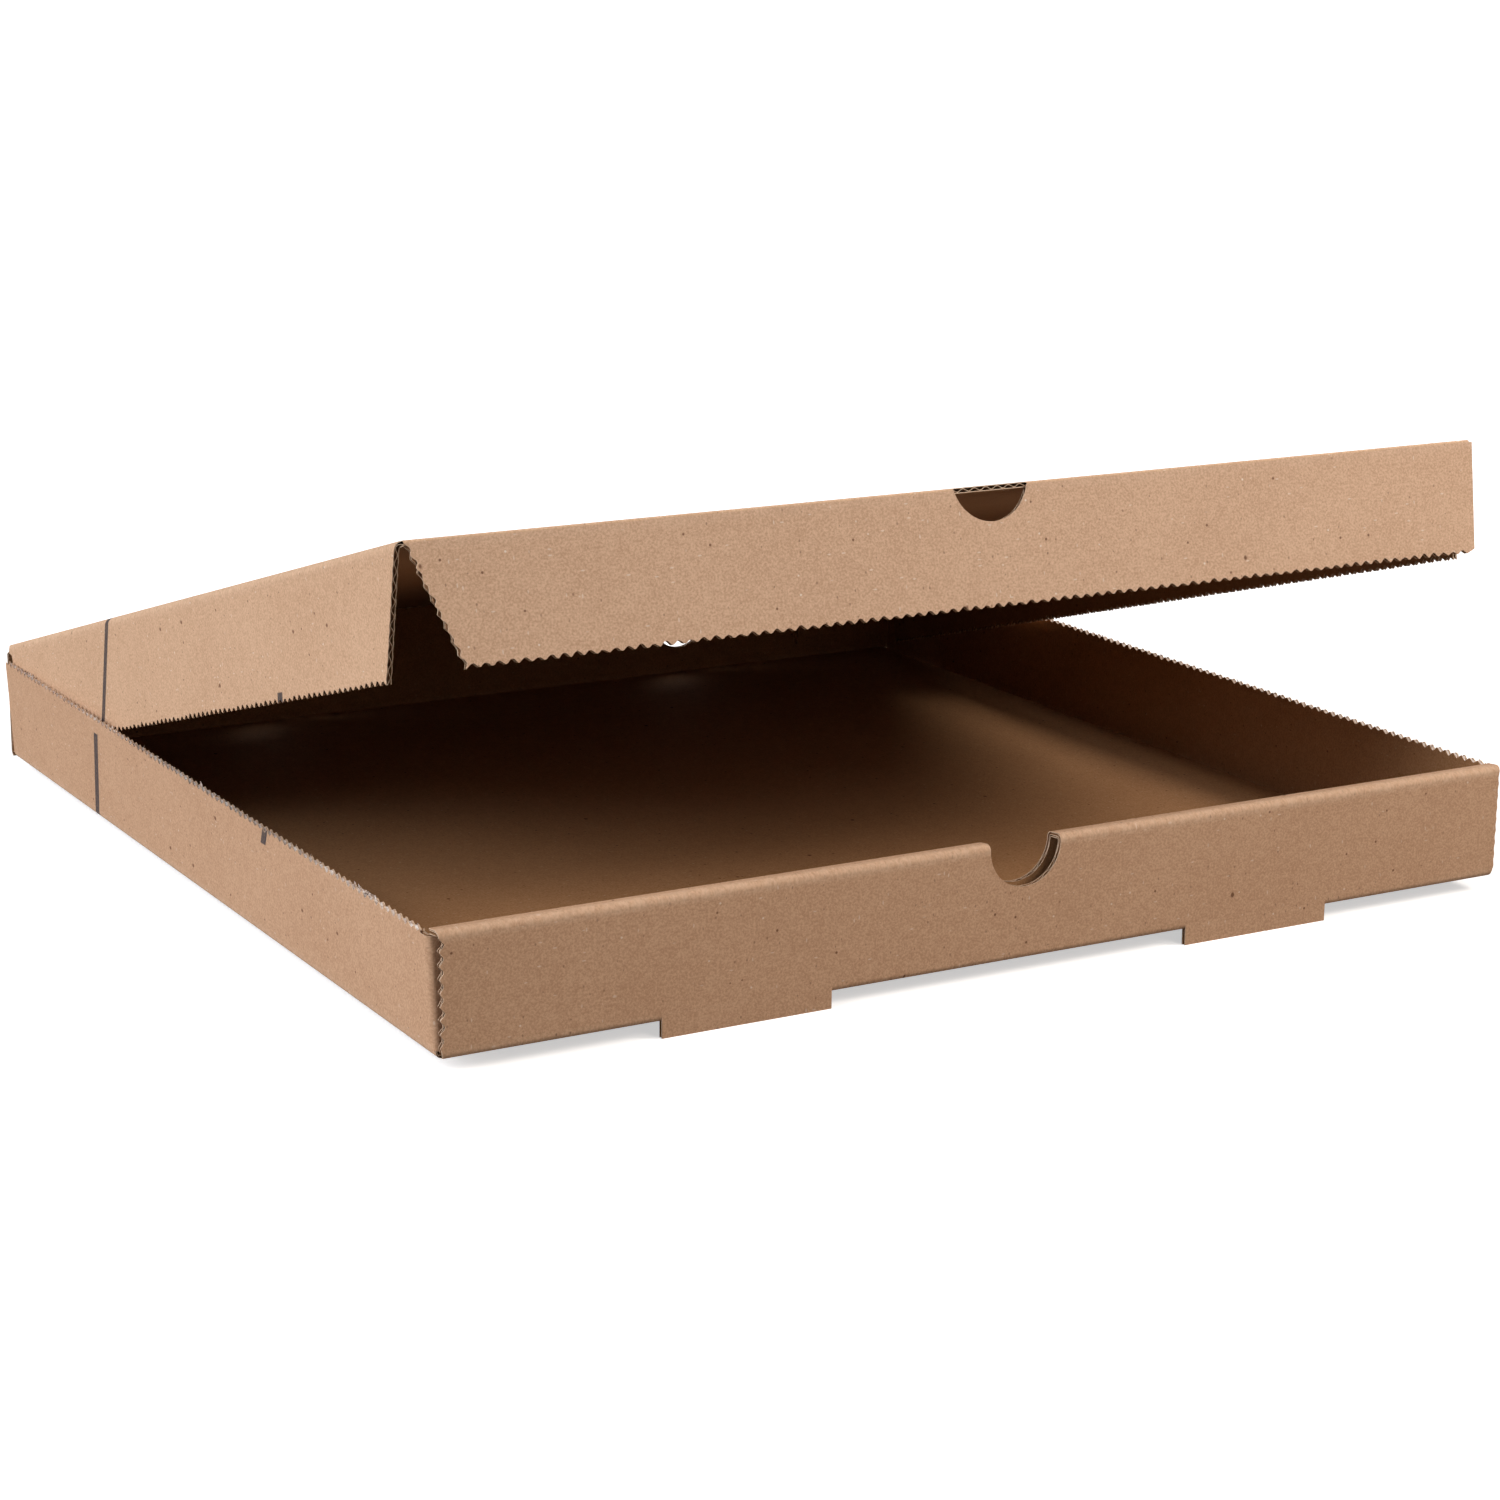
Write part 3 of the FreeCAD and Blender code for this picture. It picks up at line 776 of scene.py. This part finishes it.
class Shader:
    """A material and short ways to add nodes to it."""

    def __init__(self, name):
        self.material = bpy.data.materials.new(name)
        self.material.use_nodes = True
        self.tree = self.material.node_tree
        self.surface = self.tree.nodes["Principled BSDF"]

    def feed(self, socket, value):
        if isinstance(value, bpy.types.NodeSocket):
            self.tree.links.new(value, socket)
        else:
            socket.default_value = value

    def attribute(self, name, output):
        node = self.tree.nodes.new("ShaderNodeAttribute")
        node.attribute_name = name
        return node.outputs[output]

    def coordinates(self):
        """The two coordinates of a place on the sheet."""
        node = self.tree.nodes.new("ShaderNodeSeparateXYZ")
        self.feed(node.inputs[0], self.attribute("sheet", "Vector"))
        return node.outputs[0], node.outputs[1]

    def stretched(self, scale):
        """The place on the sheet in millimetres, stretched."""
        node = self.tree.nodes.new("ShaderNodeVectorMath")
        node.operation = "MULTIPLY"
        self.feed(node.inputs[0], self.attribute("sheet", "Vector"))
        node.inputs[1].default_value = [part / MM for part in scale]
        return node.outputs[0]

    def math(self, operation, one, other=0.0, third=0.0):
        node = self.tree.nodes.new("ShaderNodeMath")
        node.operation = operation
        for socket, value in zip(node.inputs, (one, other, third)):
            self.feed(socket, value)
        return node.outputs[0]

    def noise(self, place, scale, detail=2.0, roughness=0.5, distortion=0.0):
        node = self.tree.nodes.new("ShaderNodeTexNoise")
        self.feed(node.inputs["Vector"], place)
        node.inputs["Scale"].default_value = scale
        node.inputs["Detail"].default_value = detail
        node.inputs["Roughness"].default_value = roughness
        node.inputs["Distortion"].default_value = distortion
        return node.outputs["Fac"]

    def spread(self, value, low, high, new_low=0.0, new_high=1.0):
        node = self.tree.nodes.new("ShaderNodeMapRange")
        for socket, part in zip(node.inputs, (value, low, high, new_low, new_high)):
            self.feed(socket, part)
        return node.outputs[0]

    def mix(self, share, one, other):
        """A colour between two, through the colour sockets of a Mix node."""
        node = self.tree.nodes.new("ShaderNodeMix")
        node.data_type = "RGBA"
        self.feed(node.inputs["Factor"], share)
        self.feed(node.inputs[6], one)
        self.feed(node.inputs[7], other)
        return node.outputs[2]

    def flecks(self, scale, size, share, place):
        """1 inside small flecks in a share of the cells of a scattered grid."""
        node = self.tree.nodes.new("ShaderNodeTexVoronoi")
        self.feed(node.inputs["Vector"], place)
        node.inputs["Scale"].default_value = scale
        parts = self.tree.nodes.new("ShaderNodeSeparateColor")
        self.feed(parts.inputs[0], node.outputs["Color"])
        chosen = self.math("LESS_THAN", parts.outputs[0], share)
        near = self.spread(node.outputs["Distance"], size, size * FLECK_CORE)
        return self.math("MULTIPLY", chosen, near)

    def bump(self, height, distance):
        node = self.tree.nodes.new("ShaderNodeBump")
        node.inputs["Distance"].default_value = distance
        self.feed(node.inputs["Height"], height)
        self.feed(self.surface.inputs["Normal"], node.outputs[0])


KRAFT_DARK = (188, 147, 116)
KRAFT_LIGHT = (211, 171, 139)
# Paler colour of the folds: real wear and a painted highlight
WORN_AND_HIGHLIT = (228, 198, 170)
DARK_FIBRE = (112, 74, 54)
PALE_FIBRE = (240, 226, 208)
INK = (66, 60, 62)
TRAY_TONE = (0.98, 0.98, 0.98)
# Lighter, bluer copies of the tray's kraft for the lid and the front flap: painted light
LID_PAINTED_LIGHT_TONE = (1.12, 1.17, 1.20)
FLAP_PAINTED_LIGHT_TONE = (1.14, 1.23, 1.33)
# Darker copies of the kraft for the inner liners: painted shade inside the box and under the lid
INSIDE_PAINTED_SHADE_TONE = (0.70, 0.60, 0.45)
LID_INSIDE_PAINTED_SHADE_TONE = (0.58, 0.52, 0.41)
GRAIN_SCALE = 1.7
MOTTLE_SCALE = 0.45
CLOUD_SCALE = 0.03
SCUFF_AND_HIGHLIGHT_SCALE = 0.8
SCUFF_AND_HIGHLIGHT_STRENGTH = 0.4
PAPER_ROUGHNESS = 0.78
PAPER_SHINE = 0.12
PAPER_RELIEF = 0.06 * MM
GRAIN_RELIEF = 0.9
FLUTE_RELIEF = 0.06
INK_BLUR = 0.12 * MM
# Dark and light of the bare papers
CUT_EDGE_COLOURS = (188, 154, 126), (244, 218, 190)
PULP_COLOURS = (190, 166, 152), (255, 250, 245)
# The fluting's paper, darker than the liners and darkened further as painted shade in the flute
# cells
FLUTE_COLOURS_WITH_SHADE = (120, 84, 56), (150, 112, 82)
BARE_ROUGHNESS = 0.88
BARE_SHINE = 0.2
BARE_RELIEF = 0.05 * MM
FLECK_CORE = 0.6
# Flecks: cells per millimetre, size, share of the cells that have one, strength, stretch, tint
FLECKS = (
    (0.32, 0.13, 0.18, 0.85, (1, 1, 1), DARK_FIBRE),
    (0.60, 0.17, 0.20, 0.50, (1, 0.7, 1), DARK_FIBRE),
    (0.11, 0.07, 0.15, 0.9, (1, 0.8, 1), DARK_FIBRE),
    (0.36, 0.12, 0.10, 0.55, (1, 1, 1), PALE_FIBRE),
    (0.60, 0.17, 0.18, 0.35, (0.45, 1.3, 1), PALE_FIBRE),
    (0.60, 0.17, 0.14, 0.35, (1.3, 0.45, 1), PALE_FIBRE))


def toned(values, tone):
    """A screen colour with its channels made lighter or darker, as the shader's own."""
    return tuple(part * share for part, share in zip(colour(*values), tone)) + (1.0,)


def kraft_paper(name, marks, tone):
    """Brown liner paper with grain, dark and pale flecks, fibres, folds paled by wear and a
    painted highlight, and ink marks.
    """
    shader = Shader(name)
    place = shader.stretched((1, 1, 1))
    grain = shader.noise(place, GRAIN_SCALE, 2.0, 0.7)
    mottle = shader.noise(place, MOTTLE_SCALE, 3.0, 0.6)
    cloud = shader.noise(place, CLOUD_SCALE, 2.0, 0.5)
    blend = shader.math("ADD", shader.spread(grain, 0.3, 0.7, -0.7, 0.7),
                        shader.spread(mottle, 0.3, 0.7, 0.28, 0.72))
    blend = shader.math("ADD", blend, shader.spread(cloud, 0.3, 0.7, -0.12, 0.12))
    paper = shader.mix(blend, toned(KRAFT_DARK, tone), toned(KRAFT_LIGHT, tone))
    for scale, size, share, strength, stretch, tint in FLECKS:
        fleck = shader.flecks(scale, size, share, shader.stretched(stretch))
        paper = shader.mix(shader.math("MULTIPLY", fleck, strength), paper, toned(tint, tone))
    # Folds paled by real wear and by a painted highlight on their crests
    scuff_and_highlight = shader.spread(shader.noise(place, SCUFF_AND_HIGHLIGHT_SCALE, 3.0, 0.6), 0.35, 0.65, 0.25, 1.0)
    worn_and_highlit = shader.math("MULTIPLY", shader.attribute("wear_and_highlight", "Fac"),
                       shader.math("MULTIPLY", scuff_and_highlight, SCUFF_AND_HIGHLIGHT_STRENGTH))
    paper = shader.mix(worn_and_highlit, paper, toned(WORN_AND_HIGHLIT, tone))
    if marks:
        paper = shader.mix(ink_marks(shader, marks), paper, colour(*INK))
    shader.feed(shader.surface.inputs["Base Color"], paper)
    shader.surface.inputs["Roughness"].default_value = PAPER_ROUGHNESS
    shader.surface.inputs["Specular IOR Level"].default_value = PAPER_SHINE
    phase = shader.math("MULTIPLY", shader.coordinates()[0], 2 * math.pi / FLUTE_PITCH)
    wave = shader.math("SINE", phase)
    relief = shader.math("ADD", shader.math("MULTIPLY", grain, GRAIN_RELIEF),
                         shader.math("MULTIPLY", wave, FLUTE_RELIEF))
    shader.bump(relief, PAPER_RELIEF)
    return shader.material


def ink_marks(shader, marks):
    """Where the plain printed bars are, each given by its two ends on the sheet and its width."""
    u, v = shader.coordinates()
    total = 0.0
    for (u0, v0), (u1, v1), width in marks:
        share = 1.0
        slope = (v1 - v0) / (u1 - u0)
        middle = shader.math("MULTIPLY_ADD", u, slope, v0 - slope * u0)
        across = shader.math("SUBTRACT", v, middle)
        for coordinate, low, high in ((u, u0, u1), (across, -width / 2, width / 2)):
            share = shader.math("MULTIPLY", share,
                                shader.spread(coordinate, low - INK_BLUR, low + INK_BLUR))
            share = shader.math("MULTIPLY", share,
                                shader.spread(coordinate, high + INK_BLUR, high - INK_BLUR))
        total = shader.math("MAXIMUM", total, share)
    print_noise = shader.noise(shader.stretched((1.5, 1.5, 1)), 1.0, 3.0)
    return shader.math("MULTIPLY", total, shader.spread(print_noise, 0.2, 0.6, 0.8, 0.97))


def plain_paper(name, colours, scale, evenness):
    """Bare paper fibre, for cut edges and for the fluting inside the board."""
    shader = Shader(name)
    place = shader.stretched((1, 1, 1))
    fibre = shader.noise(place, scale, 3.0, 0.7)
    blotch = shader.spread(shader.noise(place, 0.1, 2.0), 0.42, 0.58, evenness, 1.0)
    share = shader.math("MULTIPLY", shader.spread(fibre, 0.3, 0.7), blotch)
    dark, light = colours
    shader.feed(shader.surface.inputs["Base Color"],
                shader.mix(share, colour(*dark), colour(*light)))
    shader.surface.inputs["Roughness"].default_value = BARE_ROUGHNESS
    shader.surface.inputs["Specular IOR Level"].default_value = BARE_SHINE
    shader.bump(fibre, BARE_RELIEF)
    return shader.material


def bar(path, low, high, low_v, high_v, width):
    """A printed bar on the left side, between two heights over the edge that ends the path."""
    edge = -stations(path)[-1]
    return (edge + low, low_v), (edge + high, high_v), width


# Printed bars: from and to in height over the free edge, then in v, and the width
WALL_LENGTH = stations(SIDE_PATH)[-1] - SIDE_PATH[0][0]
FLAP_LENGTH = stations(LID_PATH)[-1] - LID_PATH[0][0]
TRAY_MARKS = [bar(SIDE_PATH, 4.2 * MM, WALL_LENGTH, 69.2 * MM, 74.2 * MM, 3.1 * MM),
              bar(SIDE_PATH, -MM, 4.3 * MM, -54.8 * MM, -52.2 * MM, 3.2 * MM)]
LID_MARKS = [bar(LID_PATH, -MM, FLAP_LENGTH, 77.6 * MM, 56.2 * MM, 2.8 * MM),
             bar(LID_PATH, -MM, 2.6 * MM, -58.2 * MM, -59.5 * MM, 3.2 * MM)]
tray_paint = kraft_paper("tray_kraft", TRAY_MARKS, TRAY_TONE)
# The lid's and the front flap's kraft, lightened as painted light
lid_painted_light = kraft_paper("lid_kraft_painted_light", LID_MARKS, LID_PAINTED_LIGHT_TONE)
flap_painted_light = kraft_paper("flap_kraft_painted_light", (), FLAP_PAINTED_LIGHT_TONE)
# The inner liners' kraft, darkened as painted shade
inside_painted_shade = kraft_paper("inside_kraft_painted_shade", (), INSIDE_PAINTED_SHADE_TONE)
cut_edge = plain_paper("cut_edge", CUT_EDGE_COLOURS, 1.6, 0.8)
pulp = plain_paper("pulp", PULP_COLOURS, 1.2, 0.55)
lid_inside_painted_shade = kraft_paper("lid_inside_kraft_painted_shade", (), LID_INSIDE_PAINTED_SHADE_TONE)
# Fluting paper with painted shade for its cells
shaded_flute_paper = plain_paper("shaded_flute_paper", FLUTE_COLOURS_WITH_SHADE, 2.0, 1.0)


# The light, in the photograph strongest from the left and weak inside the box
FLOOR_REACH = 60.0
FLOOR_BOUNCE = (0.22, 0.21, 0.20, 1)
FLOOR_WHITE = (0.97, 0.97, 0.97, 1)
FLOOR_LIFT = 0.54
FLOOR_ROUGHNESS = 0.9
FLOOR_SHINE = 0.1
WORLD_LIGHT = 0.03
# Azimuth, elevation, strength and angular size
SUNS = {"left_high": (-90, 35, 2.2, 40), "left_low": (-100, 15, 0.86, 30),
        "back": (140, 45, 0.35, 40)}
SUN_COLOUR = (0.98, 1.0, 1.04)
PANEL_COLOUR = (1.0, 0.93, 0.86)
LAMP_TARGET = (0, -0.05, 0.05)
# Place, size and power
PANEL_LAMPS = {"right_front": ((0.9, -0.8, 0.9), 0.5, 10.5), "front": ((0.3, -1.2, 0.9), 0.5, 4.0),
               "front_low": ((0.3, -1.3, 0.5), 0.5, 0.8)}

# The camera that matches the photograph
CAMERA_PLACE = Vector((-433.98, -782.35, 248.82)) * MM
CAMERA_RIGHT = Vector((0.86945, -0.49395, 0.00811))
CAMERA_AHEAD = Vector((0.48002, 0.84083, -0.25018))
CAMERA_LENS = 80.71
CAMERA_SENSOR = 36
CAMERA_NEAR = 0.01


def aimed(light, direction):
    """A lamp object that shines from the direction towards the box."""
    lamp = bpy.data.objects.new(light.name, light)
    lamp.matrix_world = Vector(direction).to_track_quat("Z", "Y").to_matrix().to_4x4()
    bpy.context.scene.collection.objects.link(lamp)
    return lamp


def sun(name, azimuth, elevation, strength, spread):
    """A soft distant lamp; azimuth 0 is the front and 90 the right, in degrees."""
    light = bpy.data.lights.new(name, "SUN")
    light.energy = strength
    light.color = SUN_COLOUR
    light.angle = math.radians(spread)
    a = math.radians(azimuth)
    e = math.radians(elevation)
    aimed(light, (math.sin(a) * math.cos(e), -math.cos(a) * math.cos(e), math.sin(e)))


def panel_lamp(name, place, size, power):
    """A round soft lamp that faces the box."""
    light = bpy.data.lights.new(name, "AREA")
    light.shape = "DISK"
    light.size = size
    light.energy = power
    light.color = PANEL_COLOUR
    lamp = aimed(light, Vector(place) - Vector(LAMP_TARGET))
    lamp.matrix_world.translation = Vector(place)


def make_floor():
    """A pale floor under the feet, white to the camera and duller to the box."""
    shader = Shader("floor")
    path = shader.tree.nodes.new("ShaderNodeLightPath")
    shown = shader.math("MAXIMUM", path.outputs["Is Camera Ray"], path.outputs["Is Glossy Ray"])
    shader.feed(shader.surface.inputs["Base Color"],
                shader.mix(shown, FLOOR_BOUNCE, FLOOR_WHITE))
    shader.surface.inputs["Emission Color"].default_value = (1, 1, 1, 1)
    shader.feed(shader.surface.inputs["Emission Strength"],
                shader.math("MULTIPLY", shown, FLOOR_LIFT))
    shader.surface.inputs["Roughness"].default_value = FLOOR_ROUGHNESS
    shader.surface.inputs["Specular IOR Level"].default_value = FLOOR_SHINE
    mesh = bpy.data.meshes.new("floor")
    corners = [(x * FLOOR_REACH, y * FLOOR_REACH, FLOOR_Z)
               for x, y in ((-1, -1), (1, -1), (1, 1), (-1, 1))]
    mesh.from_pydata(corners, [], [(0, 1, 2, 3)])
    mesh.materials.append(shader.material)
    floor = bpy.data.objects.new("floor", mesh)
    bpy.context.scene.collection.objects.link(floor)


def make_surround():
    """White to the camera, and a weak light from all sides on the box."""
    world = bpy.data.worlds.new("surround")
    bpy.context.scene.world = world
    world.use_nodes = True
    nodes = world.node_tree.nodes
    links = world.node_tree.links
    background = nodes["Background"]
    path = nodes.new("ShaderNodeLightPath")
    shown = nodes.new("ShaderNodeMath")
    shown.operation = "MAXIMUM"
    links.new(path.outputs["Is Camera Ray"], shown.inputs[0])
    links.new(path.outputs["Is Glossy Ray"], shown.inputs[1])
    level = nodes.new("ShaderNodeMapRange")
    links.new(shown.outputs[0], level.inputs[0])
    level.inputs[3].default_value = WORLD_LIGHT
    level.inputs[4].default_value = 1.0
    background.inputs[0].default_value = (1, 1, 1, 1)
    links.new(level.outputs[0], background.inputs[1])


def make_lamps():
    for name, lamp in SUNS.items():
        sun(name, *lamp)
    for name, lamp in PANEL_LAMPS.items():
        panel_lamp(name, *lamp)


def make_camera():
    camera = bpy.data.cameras.new("camera")
    camera.lens = CAMERA_LENS
    camera.sensor_width = CAMERA_SENSOR
    camera.clip_start = CAMERA_NEAR
    seat = bpy.data.objects.new("camera", camera)
    upward = CAMERA_RIGHT.cross(CAMERA_AHEAD)
    turn = Matrix((CAMERA_RIGHT, upward, -CAMERA_AHEAD)).transposed().to_4x4()
    turn.translation = CAMERA_PLACE
    seat.matrix_world = turn
    bpy.context.scene.collection.objects.link(seat)
    bpy.context.scene.camera = seat


make_tray()
make_lid()
make_front_flap()
crushed_edge("left_wall_cut", -1)
crushed_edge("right_wall_cut", 1)
make_torn_fibres()
make_floor()
make_surround()
make_lamps()
make_camera()
bpy.context.scene.view_settings.view_transform = "Standard"
